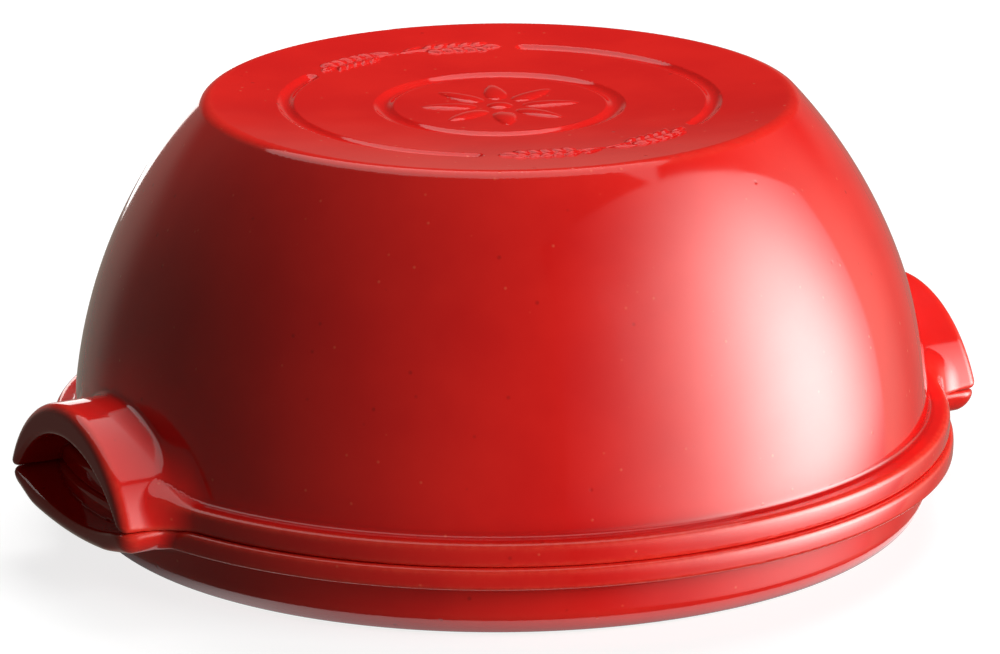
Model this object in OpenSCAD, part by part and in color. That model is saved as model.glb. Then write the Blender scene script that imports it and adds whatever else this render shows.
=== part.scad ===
// Bread cloche: a round glazed dish and a domed lid that lifts straight off it.
// +Z is up, +X runs through the two pairs of grips, the origin is the centre of the foot.

/* [Overall] */
// widest diameter, over the rolled rim of the dish
body_diameter = 295; // [240:1:360]
// height from the table to the highest edge of the closed lid
total_height = 138; // [115:1:170]
// how far each pair of grips stands out past the rim of the dish
grip_reach = 10; // [6:0.5:30]
// height of the plane where the lid rests on the dish
parting_height = 26; // [22:0.5:34]

/* [Lid shell] */
// radius of the arc that the dome's side follows
dome_radius = 165; // [140:1:190]
// wall thickness of the dome
dome_wall = 7; // [5:0.5:9]
// thickness of the flat top
top_thickness = 8; // [6:0.5:11]
// rounding between the flat top and the side
top_edge_round = 5; // [3:0.5:9]
// how far the middle of the top lies below its edge
top_hollow = 4; // [2:0.5:6]
// rounding inside, between the wall and the top
inside_corner = 12; // [6:1:20]
// how far the lid's rim stays inside the dish's rim
rim_setback = 1.2; // [0.6:0.1:2.5]
// height of the lid's rim above the parting plane
rim_height = 7.8; // [6:0.1:10]
// width of the rim's ledge outside the dome
rim_ledge = 6.8; // [5.5:0.1:9]
// rounding of the rim's upper edge
rim_round = 1.8; // [1:0.1:2.5]
// radius of the hollow between the ledge and the dome
ledge_hollow = 1.5; // [0.8:0.1:2.2]

/* [Seat] */
// height of the dish's locating lip above the parting plane
lip_height = 4; // [2.5:0.5:6]
// thickness of the locating lip
lip_thickness = 3.8; // [3:0.1:6]
// rounding on top of the locating lip
lip_round = 1.5; // [0.8:0.1:1.9]
// play between the lip and the lid's rebate, to the side and above
lip_play = 1; // [0.6:0.1:2]
// width of the flat ring that the lid stands on
seat_width = 10; // [8:0.5:13]

/* [Rings on the lid] */
// centre radius of the broken outer ring groove
outer_ring_radius = 69; // [60:1:78]
// width of the outer ring groove
outer_ring_width = 5.5; // [3:0.5:8]
// angle that each half of the outer ring spans
outer_ring_sweep = 110; // [60:5:150]
// centre radius of the closed inner ring groove
inner_ring_radius = 37.5; // [24:0.5:50]
// width of the inner ring groove
inner_ring_width = 6.5; // [3:0.5:8]
// depth of both grooves
ring_depth = 1.1; // [0.5:0.1:2]

/* [Dish] */
// floor thickness of the dish
dish_floor = 8; // [7:0.5:11]
// how far inside the rim the foot turns up into the side
foot_setback = 21.5; // [17:0.5:40]
// rounding between the foot and the side
foot_round = 5; // [3:0.5:7]
// how far the side leans out from the foot to the rim
side_lean = 9.5; // [5:0.5:12]
// height of the dish's rolled rim
roll_height = 7; // [6:0.5:11]
// rounding under the rolled rim
roll_round = 1.2; // [0.8:0.1:3]
// radius of the small hollow below the rolled rim
roll_hollow = 2.5; // [1:0.5:4]
// rounding of both rims where they meet
rim_edge_round = 1.8; // [1:0.1:2.5]
// depth of the hollow under the floor
foot_recess = 1.5; // [0.5:0.5:3]
// width of the standing ring
foot_ring_width = 13; // [8:1:20]
// number of low rings on the floor, under the loaf
floor_rings = 5; // [0:1:6]
// height of those rings
floor_ring_height = 1.2; // [0.5:0.1:2]
// radius of the section of those rings
floor_ring_round = 2.4; // [1.5:0.1:4]
// rounding inside, between the floor and the side
dish_corner = 8; // [4:1:14]
// how much narrower the inside is at the floor than at the lip
dish_draft = 1.5; // [0:0.5:4]

/* [Grips] */
// half the span of a grip at its outer end
grip_half_span = 43; // [34:0.5:50]
// rise of the lid's grip above the parting plane
lid_grip_rise = 30; // [24:0.5:36]
// drop of the dish's grip below the parting plane
dish_grip_drop = 11.5; // [9:0.5:14]
// radius of the dish grip's two lower corners
grip_corner = 7; // [5:0.5:9]
// half the span of the finger pocket between the two grips
pocket_half_span = 37.5; // [28:0.5:43]
// rise of the pocket into the lid's grip
pocket_rise = 19.5; // [14:0.5:24]
// drop of the pocket into the dish's grip
pocket_drop = 6; // [3:0.5:8]
// rounding of the grips' outer ends
grip_round = 3.3; // [2:0.1:3.6]
// rounding of the pocket's mouth
mouth_round = 2; // [1:0.1:2.5]
// radius of the hollow where a grip meets the body
root_round = 7; // [4:0.5:10]
// how far out from the wall that hollow begins
root_offset = 4; // [1:0.5:6]
// rounding of the dish grip's two tips, seen from above
tip_round = 6; // [3:0.5:10]

/* [Hidden] */
$fn = 180;
eps = 0.01;
// joined shapes reach this far into each other
bite = 1;
// cutting shapes run this far past what they cut
past = 5;
glaze = [0.78, 0.07, 0.06];

rim_radius = body_diameter / 2;
lid_rim_radius = rim_radius - rim_setback;
grip_end = rim_radius + grip_reach;
// the dome's arc stands upright at the parting plane
dome_foot_radius = lid_rim_radius - rim_ledge;
dome_centre = dome_foot_radius - dome_radius;
// the rounded edge touches the dome's arc from inside and reaches the full height
edge_z = total_height - top_edge_round;
edge_r = dome_centre + sqrt(pow(dome_radius - top_edge_round, 2) - pow(edge_z - parting_height, 2));
// the hollow top is a shallow sphere that runs smoothly into that edge
hollow_radius = (edge_r * edge_r + top_hollow * top_hollow) / (2 * top_hollow) - top_edge_round;
hollow_z = total_height - top_hollow + hollow_radius;
edge_turn = dome_radius / (dome_radius - top_edge_round);
edge_touch_z = parting_height + (edge_z - parting_height) * edge_turn;
rim_top = parting_height + rim_height;
ledge_r = lid_rim_radius - rim_round;
// the hollow above the ledge touches the dome, and its fill ends just below that point
hollow_up = rim_height + ledge_hollow;
hollow_r = dome_centre + sqrt(pow(dome_radius + ledge_hollow, 2) - pow(hollow_up, 2));
hollow_fill = 0.6 * ledge_hollow;
rebate_radius = lid_rim_radius - seat_width;
lip_radius = rebate_radius - lip_play;
lip_inside = lip_radius - lip_thickness;
ceiling_radius = hollow_radius + top_thickness;
cavity_radius = dome_radius - dome_wall;
// centre of the rounding inside, at its distance from both the ceiling and the inner wall
corner_rise = ceiling_radius + inside_corner;
corner_reach = cavity_radius - inside_corner;
centre_gap_z = hollow_z - parting_height;
centre_gap = sqrt(centre_gap_z * centre_gap_z + dome_centre * dome_centre);
gap_tilt = atan2(-dome_centre, centre_gap_z);
corner_cos = (corner_reach * corner_reach + centre_gap * centre_gap - corner_rise * corner_rise)
    / (2 * corner_reach * centre_gap);
corner_turn = gap_tilt + acos(corner_cos);
corner_r = dome_centre + corner_reach * sin(corner_turn);
corner_z = parting_height + corner_reach * cos(corner_turn);

foot_radius = rim_radius - foot_setback;
side_foot_r = foot_radius + foot_round;
side_top_r = side_foot_r + side_lean;
roll_bottom = parting_height - roll_height;
side_top_z = roll_bottom + eps;
side_reach = sqrt(pow(side_top_r - foot_radius, 2) + pow(side_top_z - foot_round, 2));
side_turn = acos(foot_round / side_reach) - atan2(side_top_z - foot_round, side_top_r - foot_radius);
dish_inside_r = lip_inside - dish_draft;
floor_ring_step = (dish_inside_r - dish_corner) / (floor_rings + 1);

// an arch over a chord has this radius
function arch_radius(half_span, rise) = (half_span * half_span + rise * rise) / (2 * rise);
lid_grip_radius = arch_radius(grip_half_span, lid_grip_rise);
lid_pocket_radius = arch_radius(pocket_half_span, pocket_rise);
dish_pocket_radius = arch_radius(pocket_half_span, pocket_drop);
// the wide arc under the dish's grip, and the arcs of its lower corners
corner_y = grip_half_span - grip_corner;
corner_depth = 1.3;
tip_z = parting_height - corner_depth;
belly_rise = dish_grip_drop - corner_depth - grip_corner;
belly_radius = arch_radius(corner_y, belly_rise) + grip_corner;
belly_z = parting_height - dish_grip_drop + belly_radius;
// the corner's arc ends where it is steep enough to cross the wide arc cleanly
corner_slope = 20;
// the roundings of the tips and of the pocket's mouth meet the grip's face at a slight angle
tip_skew = 0.3;
mouth_skew = 0.2;
tip_end = grip_end + tip_skew;
mouth_x = grip_end - mouth_round + mouth_skew;
// each grip starts inside the wall that it grows from
lid_grip_start = dome_foot_radius - 2 * dome_wall;
dish_grip_start = lip_inside + lip_thickness / 3;
root_x = sqrt(pow(dome_foot_radius, 2) - pow(grip_half_span, 2)) + root_round + root_offset;
// half the angle that the sweeps under the dish's grip need, and the depth of their bands
belly_turn = asin((grip_half_span + past) / belly_radius);
pocket_turn = asin((grip_half_span + past) / dish_pocket_radius);
band = 2 * parting_height;

dish();
lid();

// turns a profile drawn as (distance from the axis, x) about an axis along X at the height z
module along_x(z, from = 0, sweep = 360) {
    translate([0, 0, z])
        rotate([0, 90, 0])
            rotate([0, 0, from])
                rotate_extrude(angle = sweep) children();
}

// a disc from the body out to the grip's end, rounded there and spreading at its root
module grip_profile(radius, start, inner = 0) {
    difference() {
        union() {
            translate([inner, start])
                square([radius - inner - grip_round, grip_end - start]);
            translate([inner, start])
                square([radius - inner, grip_end - grip_round - start]);
            translate([radius - grip_round, grip_end - grip_round])
                circle(grip_round);
            translate([radius - eps, start])
                square([root_round + eps, root_x - start]);
        }
        translate([radius + root_round, root_x])
            circle(root_round);
    }
}

// the finger pocket's disc, opening out at its mouth
module pocket_profile(radius, start, inner = 0) {
    difference() {
        union() {
            translate([inner, start])
                square([radius - inner, grip_end + past - start]);
            translate([radius - eps, mouth_x])
                square([mouth_round + eps, mouth_round + past]);
        }
        translate([radius + mouth_round, mouth_x])
            circle(mouth_round);
    }
}

module both_ends() {
    children();
    mirror([1, 0, 0]) children();
}

// the lid's section, up to the flat top before it is hollowed
module dome_outline() {
    intersection() {
        translate([dome_centre, parting_height])
            circle(dome_radius);
        translate([0, parting_height])
            square([rim_radius, edge_touch_z - parting_height]);
    }
    translate([0, parting_height])
        square([edge_r, total_height - parting_height]);
    translate([edge_r, edge_z])
        circle(top_edge_round);
}

module rim_outline() {
    difference() {
        translate([edge_r, parting_height])
            square([hollow_r - edge_r, rim_height + hollow_fill]);
        translate([hollow_r, parting_height + hollow_up])
            circle(ledge_hollow);
    }
    translate([edge_r, parting_height])
        square([ledge_r - edge_r, rim_height]);
    translate([edge_r, parting_height])
        square([lid_rim_radius - rim_edge_round - edge_r, rim_height - rim_round]);
    translate([edge_r, parting_height + rim_edge_round])
        square([lid_rim_radius - edge_r, rim_height - rim_round - rim_edge_round]);
    translate([lid_rim_radius - rim_edge_round, parting_height + rim_edge_round])
        circle(rim_edge_round);
    // the rounding of the upper edge is half a circle, clear of the rim's underside
    intersection() {
        translate([ledge_r, rim_top - rim_round])
            circle(rim_round);
        translate([edge_r, rim_top - rim_round - eps])
            square([lid_rim_radius - edge_r, rim_round + past]);
    }
}

module lid_body() {
    rotate_extrude()
        difference() {
            union() {
                dome_outline();
                rim_outline();
            }
            translate([0, hollow_z])
                circle(hollow_radius);
        }
}

module lid_cavity() {
    rotate_extrude() {
        intersection() {
            translate([dome_centre, parting_height])
                circle(cavity_radius);
            translate([0, parting_height - past])
                square([rim_radius, corner_z - parting_height + past]);
        }
        difference() {
            translate([0, corner_z - eps])
                square([corner_r, inside_corner + past]);
            translate([0, hollow_z])
                circle(ceiling_radius);
        }
        translate([corner_r, corner_z])
            circle(inside_corner);
        translate([0, parting_height - past])
            square([rebate_radius, lip_height + lip_play + past]);
    }
}

// a groove of rounded section in the hollow top
module ring_groove(radius, width, from, sweep) {
    half = width / 2;
    tool = arch_radius(half, ring_depth);
    surface_z = hollow_z - sqrt(hollow_radius * hollow_radius - radius * radius);
    rotate([0, 0, from])
        rotate_extrude(angle = sweep)
            translate([radius, surface_z - ring_depth + tool])
                circle(tool);
}

module lid_grip() {
    difference() {
        intersection() {
            along_x(parting_height + lid_grip_rise - lid_grip_radius)
                grip_profile(lid_grip_radius, lid_grip_start);
            translate([lid_grip_start - bite, -rim_radius, parting_height])
                cube([rim_radius, body_diameter, rim_radius]);
        }
        along_x(parting_height + pocket_rise - lid_pocket_radius)
            pocket_profile(lid_pocket_radius, lid_grip_start - bite);
    }
}

module lid() {
    color(glaze)
        difference() {
            union() {
                lid_body();
                both_ends() lid_grip();
            }
            lid_cavity();
            ring_groove(outer_ring_radius, outer_ring_width, -outer_ring_sweep / 2, outer_ring_sweep);
            ring_groove(outer_ring_radius, outer_ring_width, 180 - outer_ring_sweep / 2, outer_ring_sweep);
            ring_groove(inner_ring_radius, inner_ring_width, 0, 360);
        }
}

// the dish's section without its inside
module dish_outline() {
    polygon([
        [0, foot_recess],
        [foot_radius - foot_ring_width - foot_recess, foot_recess],
        [foot_radius - foot_ring_width, 0],
        [foot_radius, 0],
        [foot_radius, foot_round],
        [foot_radius + foot_round * cos(side_turn), foot_round - foot_round * sin(side_turn)],
        [side_top_r, side_top_z],
        [side_top_r, parting_height],
        [0, parting_height]
    ]);
    translate([foot_radius, foot_round])
        circle(foot_round);
    // the rolled rim, with a small hollow below it
    difference() {
        translate([side_top_r - bite, roll_bottom - roll_hollow])
            square([roll_hollow + bite, roll_hollow + eps]);
        translate([side_top_r + roll_hollow, roll_bottom - roll_hollow])
            circle(roll_hollow);
    }
    translate([side_top_r - bite, roll_bottom])
        square([rim_radius - roll_round - side_top_r + bite, roll_height]);
    translate([rim_radius - roll_round, roll_bottom + roll_round])
        circle(roll_round);
    translate([side_top_r - bite, roll_bottom + roll_round])
        square([rim_radius - side_top_r + bite, roll_height - roll_round - rim_edge_round]);
    translate([side_top_r - bite, roll_bottom + roll_round])
        square([rim_radius - rim_edge_round - side_top_r + bite, roll_height - roll_round]);
    translate([rim_radius - rim_edge_round, parting_height - rim_edge_round])
        circle(rim_edge_round);
}

module lip_outline() {
    start = dish_inside_r - bite;
    width = lip_radius - start;
    translate([start, parting_height - bite])
        square([width, lip_height + bite - lip_round]);
    translate([start, parting_height - bite])
        square([width - lip_round, lip_height + bite]);
    translate([lip_radius - lip_round, parting_height + lip_height - lip_round])
        circle(lip_round);
}

module dish_cavity_outline() {
    difference() {
        union() {
            polygon([
                [0, dish_floor],
                [dish_inside_r - dish_corner, dish_floor],
                [dish_inside_r - dish_corner, dish_floor + dish_corner],
                [dish_inside_r, dish_floor + dish_corner],
                [lip_inside, parting_height + lip_height + bite],
                [0, parting_height + lip_height + bite]
            ]);
            translate([dish_inside_r - dish_corner, dish_floor + dish_corner])
                circle(dish_corner);
        }
        for (i = [1:1:floor_rings])
            translate([i * floor_ring_step, dish_floor + floor_ring_height - floor_ring_round])
                circle(floor_ring_round);
    }
}

module dish_body() {
    rotate_extrude() {
        dish_outline();
        lip_outline();
    }
}

// the grip's section across X: upright sides and round lower corners, deep enough for the wide arc
module keel_section() {
    reach = corner_y + grip_corner * sin(corner_slope);
    foot = tip_z - grip_corner * cos(corner_slope);
    for (side = [-1, 1])
        translate([side * corner_y, tip_z])
            circle(grip_corner);
    polygon([
        [-reach, foot],
        [0, foot - reach * tan(corner_slope)],
        [reach, foot],
        [corner_y, tip_z],
        [grip_half_span, tip_z],
        [grip_half_span, parting_height + bite],
        [-grip_half_span, parting_height + bite],
        [-grip_half_span, tip_z],
        [-corner_y, tip_z]
    ]);
}

// the grip seen from above, with its two tips rounded
module keel_plan() {
    width = grip_half_span + bite;
    translate([dish_grip_start, -width])
        square([tip_end - tip_round - dish_grip_start, 2 * width]);
    translate([dish_grip_start, tip_round - grip_half_span])
        square([tip_end - dish_grip_start, 2 * (grip_half_span - tip_round)]);
    for (side = [-1, 1])
        translate([tip_end - tip_round, side * (grip_half_span - tip_round)])
            circle(tip_round);
}

module dish_grip() {
    difference() {
        intersection() {
            along_x(belly_z, -belly_turn, 2 * belly_turn)
                grip_profile(belly_radius, dish_grip_start, belly_radius - band);
            translate([dish_grip_start, 0, 0])
                rotate([90, 0, 90])
                    linear_extrude(tip_end - dish_grip_start) keel_section();
            linear_extrude(parting_height) keel_plan();
        }
        along_x(parting_height - pocket_drop + dish_pocket_radius, -pocket_turn, 2 * pocket_turn)
            pocket_profile(dish_pocket_radius, dish_grip_start - bite, dish_pocket_radius - band);
    }
}

module dish() {
    color(glaze)
        difference() {
            union() {
                dish_body();
                both_ends() dish_grip();
            }
            rotate_extrude() dish_cavity_outline();
        }
}
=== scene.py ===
import math

import bpy
import numpy as np
from mathutils import Matrix, Vector


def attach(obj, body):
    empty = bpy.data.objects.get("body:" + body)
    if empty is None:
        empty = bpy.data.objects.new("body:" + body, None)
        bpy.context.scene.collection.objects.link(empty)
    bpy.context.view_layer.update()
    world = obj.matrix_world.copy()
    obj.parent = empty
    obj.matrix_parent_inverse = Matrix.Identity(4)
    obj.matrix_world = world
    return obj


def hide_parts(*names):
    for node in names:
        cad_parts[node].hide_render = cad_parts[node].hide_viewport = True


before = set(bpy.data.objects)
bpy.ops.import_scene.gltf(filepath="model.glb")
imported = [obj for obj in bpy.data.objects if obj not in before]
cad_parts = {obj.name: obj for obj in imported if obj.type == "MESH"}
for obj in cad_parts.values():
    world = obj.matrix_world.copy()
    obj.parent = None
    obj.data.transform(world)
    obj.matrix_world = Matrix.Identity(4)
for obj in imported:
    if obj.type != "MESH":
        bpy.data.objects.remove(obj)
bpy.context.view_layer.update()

# Sizes in millimetres, as in the CAD source; meshes are turned into metres when they are made.
MM = 0.001
PARTING = 26.0
TOTAL_HEIGHT = 138.0
RIM_RADIUS = 147.5
GRIP_END = 157.5

# the lid's shell
LID_RIM_RADIUS = 146.3
DOME_RADIUS = 165.0
DOME_CENTRE = -25.5
DOME_WALL = 7.0
TOP_THICKNESS = 8.0
TOP_HOLLOW = 4.0
EDGE_ROUND = 5.0
EDGE_Z = TOTAL_HEIGHT - EDGE_ROUND
EDGE_R = DOME_CENTRE + math.sqrt((DOME_RADIUS - EDGE_ROUND) ** 2 - (EDGE_Z - PARTING) ** 2)
EDGE_TOUCH_Z = PARTING + (EDGE_Z - PARTING) * DOME_RADIUS / (DOME_RADIUS - EDGE_ROUND)
HOLLOW_RADIUS = (EDGE_R ** 2 + TOP_HOLLOW ** 2) / (2 * TOP_HOLLOW) - EDGE_ROUND
HOLLOW_Z = TOTAL_HEIGHT - TOP_HOLLOW + HOLLOW_RADIUS
RIM_TOP = 33.8
RIM_ROUND = 1.8
RIM_CROWN = 0.3
LEDGE_HOLLOW = 1.5
REBATE_RADIUS = 136.3
REBATE_TOP = 31.0
REBATE_ROUND = 1.2
INSIDE_CORNER = 12.0
INSIDE_EDGE_ROUND = 1.0

# the dish
FOOT_ROUND = 9.0
SIDE_TOP_R = 140.0
SIDE_TURN = math.radians(6.5)
ROLL_BOTTOM = 19.0
ROLL_ROUND = 1.2
ROLL_HOLLOW = 2.5
FOOT_RECESS = 1.5
FOOT_RING_IN = 113.0
RECESS_EDGE_ROUND = 0.6
DISH_FLOOR = 8.0
DISH_CORNER = 8.0
DISH_INSIDE_R = 130.0
DISH_DRAFT = 0.1
FLOOR_RINGS = 5
FLOOR_RING_STEP = (DISH_INSIDE_R - DISH_CORNER) / (FLOOR_RINGS + 1)
FLOOR_RING_HEIGHT = 1.2
FLOOR_RING_ROUND = 2.4
FLOOR_RING_HOLLOW = 1.2
LIP_RADIUS = 135.3
LIP_TOP = 30.0
LIP_ROUND = 1.5
LIP_HOLLOW = 0.8
RIM_EDGE_ROUND = 1.5

# the grips and the finger pockets; a zone is where one rounding passes into another
GRIP_HALF_SPAN = 43.0
LID_GRIP_RISE = 30.0
BELLY_HALF_SPAN = 36.0
BELLY_RISE = 3.2
BELLY_DROP = 11.5
POCKET_HALF_SPAN = 37.5
LID_POCKET_RISE = 19.5
DISH_POCKET_DROP = 6.0
GRIP_ROUND = 3.3
MOUTH_ROUND = 2.0
TIP_ROUND = 6.0
GRIP_CORNER = 7.0
GRIP_EDGE_ROUND = 2.4
GRIP_EDGE_ZONE = (146.0, 154.0)
GRIP_CORNER_ZONE = (24.0, 40.0)
LID_ROOT_BLEND = (1.5, 10.0)
LID_ROOT_ZONE = (22.0, 42.0)
DISH_ROOT_BLEND = 3.0


def arch(half_span, rise):
    """The radius of an arch over a chord."""
    return (half_span ** 2 + rise ** 2) / (2 * rise)


LID_GRIP_R = arch(GRIP_HALF_SPAN, LID_GRIP_RISE)
LID_GRIP_Z = PARTING + LID_GRIP_RISE - LID_GRIP_R
LID_POCKET_R = arch(POCKET_HALF_SPAN, LID_POCKET_RISE)
LID_POCKET_Z = PARTING + LID_POCKET_RISE - LID_POCKET_R
BELLY_R = arch(BELLY_HALF_SPAN, BELLY_RISE) + GRIP_CORNER
BELLY_Z = PARTING - BELLY_DROP + BELLY_R
DISH_POCKET_R = arch(POCKET_HALF_SPAN, DISH_POCKET_DROP)
DISH_POCKET_Z = PARTING - DISH_POCKET_DROP + DISH_POCKET_R

# the relief on the lid's flat top
RELIEF_R = 88.0
OUTER_RING = (69.0, 2.75, math.radians(55))
INNER_RING = (37.5, 3.25)
RING_DEPTH = 1.1
PETALS = 8
PETAL = (16.5, 18.0, 7.0, 0.9)
ROSETTE_R = 30.0

# The grid's step, and how far it reaches round and up each piece.
GRID = 0.9
MARGIN = 2.0
DISH_SPAN = (-1.5, 32.0)
LID_SPAN = (24.0, 139.5)

# The camera's azimuth in degrees: 0 is in front of the object, 90 on its right.
CAMERA_AZIMUTH = -28.5


# Shapes as fields: below zero inside the solid, above zero outside, about one for each millimetre.

def circle(u, v, cu, cv, radius):
    return np.hypot(u - cu, v - cv) - radius


def soft_union(a, b, radius):
    """Both shapes, with a hollow of that radius where they meet."""
    reach = np.hypot(np.maximum(radius - a, 0), np.maximum(radius - b, 0))
    return np.maximum(radius, np.minimum(a, b)) - reach


def soft_overlap(a, b, radius):
    """What is in both shapes, with its edge rounded to that radius."""
    reach = np.hypot(np.maximum(radius + a, 0), np.maximum(radius + b, 0))
    return np.minimum(-radius, np.maximum(a, b)) + reach


def ease(value, low, high):
    t = np.clip((value - low) / (high - low), 0, 1)
    return t * t * (3 - 2 * t)


def crowned(r, z, radius, low, high):
    """A wall facing outwards from low to high, slightly bulging in the middle."""
    return r - radius + RIM_CROWN * ((2 * z - low - high) / (high - low)) ** 2


def lid_outline(r, z):
    dome = np.maximum(circle(r, z, DOME_CENTRE, PARTING, DOME_RADIUS), z - EDGE_TOUCH_Z)
    core = np.maximum(r - EDGE_R, z - TOTAL_HEIGHT)
    edge = circle(r, z, EDGE_R, EDGE_Z, EDGE_ROUND)
    shell = np.minimum(np.minimum(dome, core), edge)
    shell = np.maximum(shell, -circle(r, z, 0, HOLLOW_Z, HOLLOW_RADIUS))
    rim = crowned(r, z, LID_RIM_RADIUS, PARTING, RIM_TOP)
    rim = soft_overlap(rim, z - RIM_TOP, RIM_ROUND)
    return soft_union(shell, rim, LEDGE_HOLLOW)


def inside_corner():
    """The centre of the rounding inside the lid, between its wall and its top."""
    rise = HOLLOW_RADIUS + TOP_THICKNESS + INSIDE_CORNER
    reach = DOME_RADIUS - DOME_WALL - INSIDE_CORNER
    gap = math.hypot(HOLLOW_Z - PARTING, DOME_CENTRE)
    tilt = math.atan2(-DOME_CENTRE, HOLLOW_Z - PARTING)
    turn = tilt + math.acos((reach ** 2 + gap ** 2 - rise ** 2) / (2 * reach * gap))
    return DOME_CENTRE + reach * math.sin(turn), PARTING + reach * math.cos(turn)


CORNER_R, CORNER_Z = inside_corner()


def lid_inside(r, z):
    wall = circle(r, z, DOME_CENTRE, PARTING, DOME_RADIUS - DOME_WALL)
    wall = np.maximum(wall, z - CORNER_Z)
    ceiling = -circle(r, z, 0, HOLLOW_Z, HOLLOW_RADIUS + TOP_THICKNESS)
    middle = np.maximum(r - CORNER_R, ceiling)
    corner = circle(r, z, CORNER_R, CORNER_Z, INSIDE_CORNER)
    rebate = soft_overlap(r - REBATE_RADIUS, z - REBATE_TOP, REBATE_ROUND)
    return np.minimum(np.minimum(wall, middle), np.minimum(corner, rebate))


def parting_edge(x):
    """The rounding of the edges at the parting plane, larger on the grips."""
    return RIM_EDGE_ROUND + (GRIP_EDGE_ROUND - RIM_EDGE_ROUND) * ease(np.abs(x), *GRIP_EDGE_ZONE)


def lid_field(x, y, z):
    r = np.hypot(x, y)
    end = np.abs(x) - GRIP_END
    body = lid_outline(r, z)
    grip = soft_overlap(np.hypot(y, z - LID_GRIP_Z) - LID_GRIP_R, end, GRIP_ROUND)
    pocket = np.hypot(y, z - LID_POCKET_Z) - LID_POCKET_R
    crest, foot = LID_ROOT_BLEND
    shape = soft_union(body, grip, crest + (foot - crest) * ease(np.abs(y), *LID_ROOT_ZONE))
    shape = np.minimum(body, soft_overlap(shape, -pocket, MOUTH_ROUND))
    shape = soft_overlap(shape, PARTING - z, parting_edge(x))
    return soft_overlap(shape, -lid_inside(r, z), INSIDE_EDGE_ROUND)


def dish_outline(r, z):
    side = (r - SIDE_TOP_R) * math.cos(SIDE_TURN) - (z - ROLL_BOTTOM) * math.sin(SIDE_TURN)
    bowl = soft_overlap(side, -z, FOOT_ROUND)
    roll = crowned(r, z, RIM_RADIUS, ROLL_BOTTOM, PARTING)
    roll = soft_overlap(roll, ROLL_BOTTOM - z, ROLL_ROUND)
    return soft_union(bowl, roll, ROLL_HOLLOW)


def dish_inside(r, z):
    wall = r - DISH_INSIDE_R - DISH_DRAFT * np.maximum(z - DISH_FLOOR - DISH_CORNER, 0)
    return soft_overlap(wall, DISH_FLOOR - z, DISH_CORNER)


def dish_field(x, y, z):
    r = np.hypot(x, y)
    side = np.abs(y) - GRIP_HALF_SPAN
    end = np.abs(x) - GRIP_END
    body = dish_outline(r, z)
    plan = soft_overlap(side, end, TIP_ROUND)
    rounding = GRIP_ROUND + (GRIP_CORNER - GRIP_ROUND) * ease(np.abs(y), *GRIP_CORNER_ZONE)
    grip = soft_overlap(np.hypot(y, z - BELLY_Z) - BELLY_R, plan, rounding)
    pocket = np.hypot(y, z - DISH_POCKET_Z) - DISH_POCKET_R
    shape = soft_union(body, grip, DISH_ROOT_BLEND)
    shape = np.minimum(body, soft_overlap(shape, -pocket, MOUTH_ROUND))
    shape = soft_overlap(shape, z - PARTING, parting_edge(x))
    lip = soft_overlap(r - LIP_RADIUS, z - LIP_TOP, LIP_ROUND)
    lip = np.maximum(lip, ROLL_BOTTOM + ROLL_ROUND - z)
    shape = soft_union(shape, lip, LIP_HOLLOW)
    shape = soft_overlap(shape, -dish_inside(r, z), INSIDE_EDGE_ROUND)
    ring = np.clip(np.round(r / FLOOR_RING_STEP), 1, FLOOR_RINGS) * FLOOR_RING_STEP
    ring_z = DISH_FLOOR + FLOOR_RING_HEIGHT - FLOOR_RING_ROUND
    shape = soft_union(shape, circle(r, z, ring, ring_z, FLOOR_RING_ROUND), FLOOR_RING_HOLLOW)
    recess = np.maximum(z - FOOT_RECESS, (r + z - FOOT_RING_IN) * math.sqrt(0.5))
    return soft_overlap(shape, -recess, RECESS_EDGE_ROUND)


# Meshing: one vertex in each grid cell that the surface crosses, then moved onto the surface.

def slope(field, points, reach):
    """The field's gradient at the points."""
    parts = []
    for axis in np.eye(3) * reach:
        ahead = field(*(points + axis).T)
        behind = field(*(points - axis).T)
        parts.append((ahead - behind) / (2 * reach))
    return np.stack(parts, axis=1)


def cell_points(values, cells):
    """For each cell, the mean of the points where the surface crosses its twelve edges."""
    total = np.zeros((len(cells), 3))
    count = np.zeros(len(cells))
    for axis in range(3):
        unit = np.eye(3, dtype=int)[axis]
        others = [np.eye(3, dtype=int)[k] for k in range(3) if k != axis]
        for i in (0, 1):
            for j in (0, 1):
                corner = i * others[0] + j * others[1]
                a = values[tuple((cells + corner).T)]
                b = values[tuple((cells + corner + unit).T)]
                crossed = (a < 0) != (b < 0)
                share = np.where(crossed, a / np.where(crossed, a - b, 1), 0)
                point = corner + share[:, None] * unit
                total += np.where(crossed[:, None], point, 0)
                count += crossed
    return cells + total / count[:, None]


def cell_quads(inside, index):
    """A quad around each grid edge that the surface crosses."""
    quads = []
    for axis in range(3):
        u, v = [k for k in range(3) if k != axis]
        low = [slice(1, -1)] * 3
        high = [slice(1, -1)] * 3
        low[axis] = slice(0, -1)
        high[axis] = slice(1, None)
        first = inside[tuple(low)]
        second = inside[tuple(high)]
        at = np.argwhere(first != second)
        if not len(at):
            continue
        outward = first[tuple(at.T)]
        at[:, u] += 1
        at[:, v] += 1
        ring = []
        for du, dv in ((1, 1), (0, 1), (0, 0), (1, 0)):
            cell = at.copy()
            cell[:, u] -= du
            cell[:, v] -= dv
            ring.append(index[tuple(cell.T)])
        ring = np.stack(ring, axis=1)
        if axis == 1:
            outward = ~outward
        quads.append(np.where(outward[:, None], ring, ring[:, ::-1]))
    return np.concatenate(quads)


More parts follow.
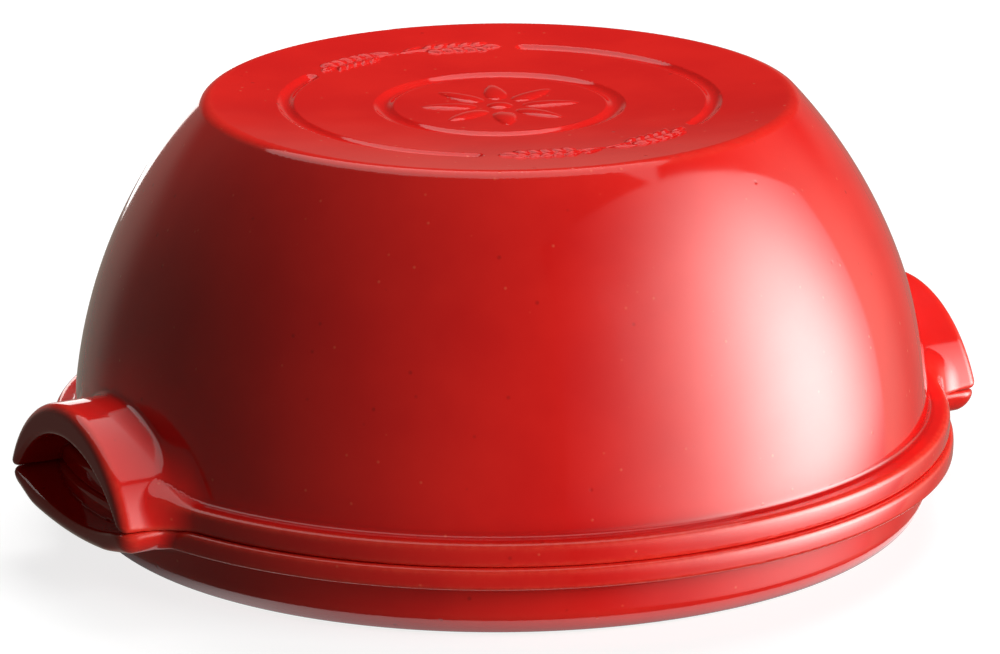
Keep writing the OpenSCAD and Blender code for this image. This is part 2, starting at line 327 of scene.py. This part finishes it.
def surface(field, low, high, step):
    """Vertices on the field's zero level and the quads between them."""
    axes = [np.arange(a, b + step, step) for a, b in zip(low, high)]
    x, y = np.meshgrid(axes[0].astype(np.float32), axes[1].astype(np.float32), indexing="ij")
    values = np.stack([field(x, y, np.float32(z)) for z in axes[2]], axis=2)
    inside = values < 0
    count = np.zeros([n - 1 for n in inside.shape], np.uint8)
    for i in (0, 1):
        for j in (0, 1):
            for k in (0, 1):
                count += inside[i:i - 1 or None, j:j - 1 or None, k:k - 1 or None]
    mixed = (count > 0) & (count < 8)
    index = np.full(mixed.shape, -1, np.int32)
    index[mixed] = np.arange(np.count_nonzero(mixed))
    cells = np.argwhere(mixed)
    points = np.array([a[0] for a in axes]) + step * cell_points(values, cells)
    for _ in range(4):
        gradient = slope(field, points, 0.02)
        length = np.maximum((gradient ** 2).sum(1), 0.2)
        move = -gradient * (field(*points.T) / length)[:, None]
        size = np.linalg.norm(move, axis=1, keepdims=True)
        points += move * np.minimum(1, 0.5 * step / np.maximum(size, 1e-9))
    return points, cell_quads(inside, index)


def refine(points, quads, chosen):
    """Splits the chosen quads in four."""
    cut = quads[chosen]
    edges = np.stack([cut, np.roll(cut, -1, axis=1)], axis=2).reshape(-1, 2)
    edges.sort(axis=1)
    keys, place = np.unique(edges, axis=0, return_inverse=True)
    place = place.reshape(-1, 4) + len(points)
    middles = points[keys].mean(1)
    centres = points[cut].mean(1)
    centre = np.arange(len(cut)) + len(points) + len(middles)
    small = [
        np.stack([cut[:, k], place[:, k], centre, place[:, k - 1]], axis=1)
        for k in range(4)
    ]
    points = np.concatenate([points, middles, centres])
    return points, np.concatenate([quads[~chosen]] + small)


# Relief on the flat top: two sunk rings, raised ears of wheat and a rosette of grains.

def grain(x, y, cx, cy, angle, length, width, height):
    """The height of one raised grain."""
    c, s = math.cos(angle), math.sin(angle)
    u = ((x - cx) * c + (y - cy) * s) / (length / 2)
    v = ((y - cy) * c - (x - cx) * s) / (width / 2)
    inside = np.maximum(1 - u * u - (v / np.maximum(1 - 0.35 * u, 0.5)) ** 2, 0)
    return height * inside ** 0.65


def ear_of_wheat(s, t):
    """An ear along the line t = 0, its stem from s = 0."""
    height = grain(s, t, 6.5, 0, 0, 15, 1.4, 0.55)
    height = np.maximum(height, grain(s, t, 5.5, 2.6, 0.45, 8, 2.1, 0.6))
    for k in range(5):
        along = 12.0 + 3.9 * k
        for side in (-1, 1):
            height = np.maximum(height, grain(s, t, along, side * 2.6, side * 0.5, 6.4, 3.0, 1.0))
    return np.maximum(height, grain(s, t, 31.5, 0, 0, 7.0, 3.0, 1.0))


def relief(x, y):
    """How far the flat top is raised or cut, in millimetres."""
    r = np.hypot(x, y)
    turn = np.abs(np.arctan2(y, np.abs(x)))
    radius, half, sweep = OUTER_RING
    past_end = radius * np.sin(np.clip(turn - sweep, 0, math.pi / 2))
    off = np.hypot(np.where(past_end > 0, r * np.cos(turn - sweep), r) - radius, past_end)
    height = -RING_DEPTH * np.maximum(1 - (off / half) ** 2, 0) ** 1.25
    radius, half = INNER_RING
    height -= RING_DEPTH * np.maximum(1 - ((r - radius) / half) ** 2, 0) ** 1.25
    along = OUTER_RING[0] * (math.pi / 2 - turn)
    height = height + ear_of_wheat(along, r - OUTER_RING[0])
    out, length, width, rise = PETAL
    for k in range(PETALS):
        a = (2 * k + 1) * math.pi / PETALS
        petal = grain(x, y, out * math.cos(a), out * math.sin(a), a, length, width, rise)
        height = np.maximum(height, np.where(r < ROSETTE_R, petal, height))
    return height + np.where(r < 6, rise * np.maximum(1 - (r / 4) ** 2, 0) ** 0.7, 0)


def with_relief(points, quads, normals):
    """Splits the flat top's quads and raises or cuts its vertices."""
    def on_top(p):
        return (np.hypot(p[:, 0], p[:, 1]) < RELIEF_R) & (p[:, 2] > EDGE_Z)

    before = len(points)
    points, quads = refine(points, quads, on_top(points)[quads].all(1))
    added = np.arange(len(points)) >= before
    x, y = points[:, 0], points[:, 1]
    fall = HOLLOW_Z - np.sqrt(HOLLOW_RADIUS ** 2 - x * x - y * y)
    points[added, 2] = fall[added]
    plain = np.stack([x, y, points[:, 2] - HOLLOW_Z], axis=1) / -HOLLOW_RADIUS
    normals = np.concatenate([normals, plain[added]])
    top = on_top(points)
    x, y = x[top], y[top]
    d = 0.15
    lean_x = (relief(x + d, y) - relief(x - d, y)) / (2 * d)
    lean_y = (relief(x, y + d) - relief(x, y - d)) / (2 * d)
    points[top, 2] += relief(x, y)
    normals[top] -= np.stack([lean_x, lean_y, 0 * x], axis=1)
    normals /= np.linalg.norm(normals, axis=1, keepdims=True)
    return points, quads, normals


def make_mesh(name, points, quads, normals, facts):
    mesh = bpy.data.meshes.new(name)
    mesh.vertices.add(len(points))
    mesh.vertices.foreach_set("co", (points * MM).astype(np.float32).ravel())
    mesh.loops.add(quads.size)
    mesh.loops.foreach_set("vertex_index", quads.astype(np.int32).ravel())
    mesh.polygons.add(len(quads))
    mesh.polygons.foreach_set("loop_start", np.arange(0, quads.size, 4, dtype=np.int32))
    mesh.update(calc_edges=True)
    mesh.polygons.foreach_set("use_smooth", np.ones(len(quads), bool))
    for fact, numbers in facts.items():
        attribute = mesh.attributes.new(fact, "FLOAT", "POINT")
        attribute.data.foreach_set("value", numbers.astype(np.float32))
    mesh.normals_split_custom_set_from_vertices(normals.astype(np.float32))
    piece = bpy.data.objects.new(name, mesh)
    bpy.context.scene.collection.objects.link(piece)
    return piece


# How strongly a bend shows in the glaze, and how high its bare clay reaches above the floor.
EDGE_GAIN = 1.6
HOLLOW_GAIN = 2.2
BARE_ZONE = (0.5, 0.9)


def bend_of(field, points, reach=1.3):
    """How sharply the surface turns: above zero on edges, below zero in hollows."""
    total = -6 * field(*points.T)
    for axis in np.eye(3) * reach:
        total = total + field(*(points + axis).T) + field(*(points - axis).T)
    return total / reach ** 2


def glazed_piece(name, field, low, high, top=False):
    points, quads = surface(field, low, high, GRID)
    normals = slope(field, points, 0.15)
    normals /= np.linalg.norm(normals, axis=1, keepdims=True)
    bend = bend_of(field, points)
    if top:
        before = len(points)
        points, quads, normals = with_relief(points, quads, normals)
        bend = np.concatenate([bend, np.zeros(len(points) - before)])
    r = np.hypot(points[:, 0], points[:, 1])
    ring = 1 - ease(points[:, 2], *BARE_ZONE)
    facts = {
        "edge": np.clip(bend * EDGE_GAIN, 0, 1),
        "hollow": np.clip(-bend * HOLLOW_GAIN, 0, 1),
        "bare": ring * ease(r, FOOT_RING_IN - 3, FOOT_RING_IN - 1),
    }
    return make_mesh(name, points, quads, normals, facts)


# Materials

def new_material(name):
    material = bpy.data.materials.new(name)
    material.use_nodes = True
    tree = material.node_tree
    tree.nodes.clear()
    return material, tree


def node(tree, kind, inputs=None, **settings):
    made = tree.nodes.new(kind)
    for key, value in settings.items():
        setattr(made, key, value)
    for key, value in (inputs or {}).items():
        if isinstance(value, bpy.types.NodeSocket):
            tree.links.new(value, made.inputs[key])
        else:
            made.inputs[key].default_value = value
    return made


def math_node(tree, operation, a, b=0.0, clamp=False):
    made = node(tree, "ShaderNodeMath", {0: a, 1: b}, operation=operation, use_clamp=clamp)
    return made.outputs[0]


def remap(tree, value, low, high, to_low=0.0, to_high=1.0):
    sockets = {
        "Value": value,
        "From Min": low,
        "From Max": high,
        "To Min": to_low,
        "To Max": to_high,
    }
    return node(tree, "ShaderNodeMapRange", sockets, interpolation_type="SMOOTHSTEP").outputs[0]


def mix_colour(tree, factor, a, b):
    made = node(tree, "ShaderNodeMix", data_type="RGBA")
    sockets = (made.inputs["Factor"], made.inputs[6], made.inputs[7])
    for socket, value in zip(sockets, (factor, a, b)):
        if isinstance(value, bpy.types.NodeSocket):
            tree.links.new(value, socket)
        else:
            socket.default_value = value
    return made.outputs[2]


def noise(tree, place, scale, detail=2.0, rough=0.5):
    sockets = {"Vector": place, "Scale": scale, "Detail": detail, "Roughness": rough}
    return node(tree, "ShaderNodeTexNoise", sockets).outputs["Fac"]


def specks(tree, place, size, share):
    """Small round spots, about size metres apart, in that share of the cells: one at a spot's
    middle."""
    grid = {"Vector": place, "Scale": 1 / size, "Randomness": 1.0}
    cells = node(tree, "ShaderNodeTexVoronoi", grid)
    spot = remap(tree, cells.outputs["Distance"], 0.05, 0.30, 1.0, 0.0)
    red = node(tree, "ShaderNodeSeparateColor", {"Color": cells.outputs["Color"]}).outputs[0]
    picked = math_node(tree, "LESS_THAN", red, share)
    return math_node(tree, "MULTIPLY", spot, picked)


def glaze_material(name, shift):
    """Glossy red glaze over pale clay: thinner and lighter on edges, pooled and darker in hollows,
    with faint waves, fine orange peel, pinholes and small lumps. The standing ring is bare clay."""
    material, tree = new_material(name)
    spot = node(tree, "ShaderNodeTexCoord").outputs["Object"]
    place = node(tree, "ShaderNodeMapping", {"Vector": spot, "Location": shift}).outputs[0]
    edge = node(tree, "ShaderNodeAttribute", attribute_name="edge").outputs["Fac"]
    hollow = node(tree, "ShaderNodeAttribute", attribute_name="hollow").outputs["Fac"]
    bare = node(tree, "ShaderNodeAttribute", attribute_name="bare").outputs["Fac"]

    clouds = noise(tree, place, 28.0, 3.0)
    grainy = noise(tree, place, 420.0, 2.0)
    lumps = specks(tree, place, 0.0024, 0.030)
    holes = specks(tree, place, 0.0034, 0.020)

    deep, warm = (0.66, 0.0085, 0.0075, 1), (0.73, 0.013, 0.0095, 1)
    red = mix_colour(tree, remap(tree, clouds, 0.3, 0.7), deep, warm)
    thin = math_node(tree, "MULTIPLY", edge, remap(tree, grainy, 0.25, 0.75, 0.30, 0.75))
    red = mix_colour(tree, thin, red, (0.80, 0.055, 0.030, 1))
    for place_of, share, shade in (
        (hollow, 0.45, (0.42, 0.004, 0.005, 1)),
        (lumps, 0.50, (0.80, 0.12, 0.06, 1)),
        (holes, 0.50, (0.30, 0.005, 0.005, 1)),
    ):
        red = mix_colour(tree, math_node(tree, "MULTIPLY", place_of, share), red, shade)
    clay = mix_colour(tree, grainy, (0.50, 0.36, 0.24, 1), (0.72, 0.58, 0.43, 1))
    colour = mix_colour(tree, bare, red, clay)

    waves = noise(tree, place, 34.0, 1.0)
    peel = noise(tree, place, 330.0, 1.0)
    height = math_node(tree, "MULTIPLY", waves, 0.00010)
    height = math_node(tree, "ADD", height, math_node(tree, "MULTIPLY", peel, 0.0000016))
    height = math_node(tree, "ADD", height, math_node(tree, "MULTIPLY", lumps, 0.00003))
    height = math_node(tree, "SUBTRACT", height, math_node(tree, "MULTIPLY", holes, 0.00004))
    rough_clay = math_node(tree, "MULTIPLY", math_node(tree, "MULTIPLY", grainy, bare), 0.0004)
    height = math_node(tree, "ADD", height, rough_clay)
    bump = node(tree, "ShaderNodeBump", {"Height": height, "Strength": 1.0, "Distance": 1.0})

    sheen = remap(tree, noise(tree, place, 75.0, 4.0), 0.3, 0.7, 0.055, 0.095)
    roughness = math_node(tree, "ADD", sheen, math_node(tree, "MULTIPLY", bare, 0.75))
    shader = node(tree, "ShaderNodeBsdfPrincipled", {
        "Base Color": colour,
        "Roughness": roughness,
        "Normal": bump.outputs[0],
        "IOR": 1.52,
    })
    node(tree, "ShaderNodeOutputMaterial", {"Surface": shader.outputs[0]})
    return material


# Studio

def direction(azimuth, elevation):
    """A unit vector towards that azimuth, 0 being in front, 90 to the right, and that elevation."""
    a, e = math.radians(azimuth), math.radians(elevation)
    return Vector((math.sin(a) * math.cos(e), -math.cos(a) * math.cos(e), math.sin(e)))


def facing(centre, towards):
    """A place at centre whose -Z looks at towards."""
    turn = (Vector(towards) - Vector(centre)).to_track_quat("-Z", "Y")
    return Matrix.Translation(centre) @ turn.to_matrix().to_4x4()


def add_lamp(name, azimuth, elevation, distance, width, height, level):
    """A soft lamp that lights a white surface facing it to about that level. It isn't mirrored: the
    cards give the reflections."""
    data = bpy.data.lights.new(name, "AREA")
    data.shape = "RECTANGLE"
    data.size = width
    data.size_y = height
    data.energy = level * (math.pi * distance) ** 2
    lamp = bpy.data.objects.new(name, data)
    lamp.matrix_world = facing(direction(azimuth, elevation) * distance, (0, 0, 0.06))
    lamp.visible_glossy = False
    bpy.context.scene.collection.objects.link(lamp)
    return lamp


def only_reflected(card):
    card.visible_camera = False
    card.visible_diffuse = False
    card.visible_shadow = False
    card.visible_transmission = False
    card.visible_volume_scatter = False


def add_card(name, place, points, level, centre=(0, 0), spread=(1, 1), power=0.0, dim=None):
    """A softbox seen only in reflections: a flat shape in its own XY plane, put at place. Its light
    falls off from a centre, by spread along X and Y, and dim = (low, high, share) lowers it to that
    share at Y = low."""
    mesh = bpy.data.meshes.new(name)
    mesh.from_pydata([(u, v, 0) for u, v in points], [], [tuple(range(len(points)))])
    card = bpy.data.objects.new(name, mesh)
    card.matrix_world = place
    bpy.context.scene.collection.objects.link(card)
    material, tree = new_material(name)
    flat = node(tree, "ShaderNodeTexCoord").outputs["Object"]
    spot = node(tree, "ShaderNodeMapping", {
        "Vector": flat,
        "Location": (-centre[0] / spread[0], -centre[1] / spread[1], 0),
        "Scale": (1 / spread[0], 1 / spread[1], 0),
    }).outputs[0]
    squared = node(tree, "ShaderNodeVectorMath", {0: spot, 1: spot}, operation="DOT_PRODUCT")
    fall = math_node(tree, "POWER", math_node(tree, "ADD", squared.outputs["Value"], 1.0), -power)
    strength = math_node(tree, "MULTIPLY", fall, level)
    if dim:
        low, high, share = dim
        up = node(tree, "ShaderNodeSeparateXYZ", {0: flat}).outputs[1]
        strength = math_node(tree, "MULTIPLY", strength, remap(tree, up, low, high, share, 1.0))
    sockets = {"Strength": strength, "Color": (1.0, 0.975, 0.95, 1)}
    light = node(tree, "ShaderNodeEmission", sockets)
    node(tree, "ShaderNodeOutputMaterial", {"Surface": light.outputs[0]})
    mesh.materials.append(material)
    only_reflected(card)
    return card


def add_key_card():
    """The big softbox in front and to the right. Its plane is one unit off along its azimuth, so a
    corner's place is given by two tangents. Its upper and right edges are the sharp ones in the
    photograph, and its lower part is dimmer."""
    azimuth, distance = 45, 4.0
    corners = []
    for a, e in ((-12, -28), (93, -24), (93, 21.3), (-12, 51)):
        ray = direction(a - azimuth, e)
        corners.append((-ray.x / ray.y, -ray.z / ray.y))
    upright = Matrix.Rotation(math.radians(90), 4, "X")
    turn = Matrix.Rotation(math.radians(azimuth), 4, "Z") @ upright
    place = Matrix.Translation(direction(azimuth, 0) * distance + Vector((0, 0, 0.06)))
    place = place @ turn @ Matrix.Scale(distance, 4)
    centre, spread, power = (0.25, 0.104), (0.726, 0.88), 2.31
    dim = (-0.46, -0.14, 0.42)
    return add_card("key_card", place, corners, 15.6, centre, spread, power, dim)


def add_top_card():
    """The softbox overhead, with its corners as seen from one unit below it."""
    height = 3.0
    front = [(-0.76, 0.7), (-0.52, 0.0), (-0.21, -0.3), (0.27, -0.44), (0.62, -0.55)]
    corners = front + [(0.62, 0.62), (0.5, 1.05), (-0.76, 1.05)]
    place = Matrix.Translation((0, 0, height)) @ Matrix.Scale(height, 4)
    return add_card("top_card", place, corners, 1.5)


def add_back_card():
    """A small bright card behind the left grip, which gives the light along its crest."""
    centre = Vector((0.078, 0.45, 0.085))
    place = facing(centre, (-0.15, 0.01, 0.056))
    u, v = 0.1, 0.065
    return add_card("back_card", place, [(-u, -v), (u, -v), (u, v), (-u, v)], 2.5)


def add_world():
    """White for the camera. Reflections see a dark room with the white sweep low behind the object and a
    pale wall beyond the softbox; diffuse light gets a low even level."""
    world = bpy.data.worlds.new("studio")
    bpy.context.scene.world = world
    world.use_nodes = True
    tree = world.node_tree
    tree.nodes.clear()
    way = node(tree, "ShaderNodeTexCoord").outputs["Generated"]

    def towards(azimuth, elevation, low, high):
        aim = {0: way, 1: tuple(direction(azimuth, elevation))}
        cosine = node(tree, "ShaderNodeVectorMath", aim, operation="DOT_PRODUCT")
        return remap(tree, cosine.outputs["Value"], low, high)

    height = node(tree, "ShaderNodeSeparateXYZ", {0: way}).outputs[2]
    low_down = remap(tree, height, 0.08, 0.24, 0.16, 0.0)
    sweep = math_node(tree, "MULTIPLY", towards(150, -6, 0.60, 0.85), low_down)
    beyond = towards(76, 0, 0.68, 1.0)
    wall = math_node(tree, "MULTIPLY", math_node(tree, "MULTIPLY", beyond, beyond), 1.5)
    behind = math_node(tree, "MULTIPLY", towards(151, 24, 0.70, 0.93), -0.09)
    room = math_node(tree, "ADD", math_node(tree, "ADD", sweep, wall), 0.13)
    room = math_node(tree, "ADD", room, behind)
    ray = node(tree, "ShaderNodeLightPath").outputs
    mirrored = math_node(tree, "MAXIMUM", ray["Is Glossy Ray"], ray["Is Transmission Ray"])
    level = math_node(tree, "MULTIPLY", mirrored, room)
    level = math_node(tree, "ADD", level, ray["Is Camera Ray"])
    even = math_node(tree, "MULTIPLY", ray["Is Diffuse Ray"], 0.05)
    level = math_node(tree, "ADD", level, even)
    colour = mix_colour(tree, ray["Is Camera Ray"], (1, 0.94, 0.80, 1), (1, 1, 1, 1))
    light = node(tree, "ShaderNodeBackground", {"Strength": level, "Color": colour})
    node(tree, "ShaderNodeOutputWorld", {"Surface": light.outputs[0]})


def add_floor():
    """A matt floor, lifted to white for the camera except in the object's shadow. Only the camera's
    rays meet it."""
    mesh = bpy.data.meshes.new("floor")
    half = 6.0
    drop = -0.0001
    corners = [(x, y, drop) for x, y in ((-half, -half), (half, -half), (half, half), (-half, half))]
    mesh.from_pydata(corners, [], [(0, 1, 2, 3)])
    floor = bpy.data.objects.new("floor", mesh)
    bpy.context.scene.collection.objects.link(floor)
    material, tree = new_material("floor")
    matt = node(tree, "ShaderNodeBsdfDiffuse", {"Color": (0.28, 0.28, 0.28, 1)})
    seen = node(tree, "ShaderNodeLightPath").outputs["Is Camera Ray"]
    lift = node(tree, "ShaderNodeEmission", {"Strength": math_node(tree, "MULTIPLY", seen, 0.80)})
    both = node(tree, "ShaderNodeAddShader", {0: matt.outputs[0], 1: lift.outputs[0]})
    node(tree, "ShaderNodeOutputMaterial", {"Surface": both.outputs[0]})
    mesh.materials.append(material)
    floor.visible_glossy = False
    floor.visible_diffuse = False
    floor.visible_shadow = False
    return floor


def add_foot_card():
    """A painted reflection of the lit floor close round the dish, as its rounded foot mirrors it: a glowing
    ring seen only in reflections, darker close to the foot and on the camera's left, where it paints the
    dish's shadow on the floor."""
    mesh = bpy.data.meshes.new("foot_card")
    count = 64
    inner, outer = 0.1300, 0.1414
    points = []
    for radius in (inner, outer):
        for k in range(count):
            a = 2 * math.pi * k / count
            points.append((radius * math.cos(a), radius * math.sin(a), 0.0002))
    faces = [(k, (k + 1) % count, count + (k + 1) % count, count + k) for k in range(count)]
    mesh.from_pydata(points, [], faces)
    card = bpy.data.objects.new("foot_card", mesh)
    bpy.context.scene.collection.objects.link(card)
    material, tree = new_material("foot_card")
    spot = node(tree, "ShaderNodeTexCoord").outputs["Object"]
    away = node(tree, "ShaderNodeVectorMath", {0: spot}, operation="LENGTH").outputs["Value"]
    # painted shadow: the ring's light drops close to the foot, where the dish shades the floor
    strength = remap(tree, away, 0.131, 0.140, 0.35, 1.7)
    rightwards = {0: spot, 1: tuple(direction(CAMERA_AZIMUTH + 90, 0))}
    side = node(tree, "ShaderNodeVectorMath", rightwards, operation="DOT_PRODUCT").outputs["Value"]
    # painted shadow: the ring is dimmer on the camera's left, where the floor lies in the dish's shadow
    on_right = remap(tree, side, -0.125, -0.075, 0.12, 0.9)
    strength = math_node(tree, "MULTIPLY", strength, on_right)
    light = node(tree, "ShaderNodeEmission", {"Strength": strength, "Color": (1, 1, 1, 1)})
    node(tree, "ShaderNodeOutputMaterial", {"Surface": light.outputs[0]})
    mesh.materials.append(material)
    only_reflected(card)


def add_camera():
    """The photograph's view, fitted to its outlines."""
    elevation, distance = 16.63, 2.148
    target = Vector((0, 0, 0.0596))
    data = bpy.data.cameras.new("camera")
    data.sensor_width = 36.0
    data.lens = 6598 / 1000 * 36.0
    data.shift_x = -0.0012
    data.clip_end = 50
    camera = bpy.data.objects.new("camera", data)
    back = direction(CAMERA_AZIMUTH, elevation)
    roll = Matrix.Rotation(math.radians(-0.347), 4, "Z")
    camera.matrix_world = facing(target + back * distance, target) @ roll
    bpy.context.scene.collection.objects.link(camera)
    bpy.context.scene.camera = camera


def build():
    x, y = GRIP_END + MARGIN, RIM_RADIUS + MARGIN
    low, high = DISH_SPAN
    dish = glazed_piece("dish_glazed", dish_field, (-x, -y, low), (x, y, high))
    low, high = LID_SPAN
    lid = glazed_piece("lid_glazed", lid_field, (-x, -y, low), (x, y, high), top=True)
    dish.data.materials.append(glaze_material("dish_glaze", (0.31, 0.17, 0.05)))
    lid.data.materials.append(glaze_material("lid_glaze", (0.0, 0.0, 0.0)))
    for piece, body in ((dish, "dish"), (lid, "lid")):
        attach(piece, body)
        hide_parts(body)


build()
add_floor()
add_foot_card()
add_world()
add_lamp("key_lamp", 28, 27, 4.5, 3.0, 2.2, 0.95)
add_lamp("floor_lamp", 30, -22, 4.5, 3.0, 2.0, 0.52)
add_lamp("back_lamp", 142, 50, 4.0, 2.6, 2.2, 1.15)
add_key_card()
add_top_card()
add_back_card()
add_camera()
bpy.context.scene.view_settings.view_transform = "Standard"
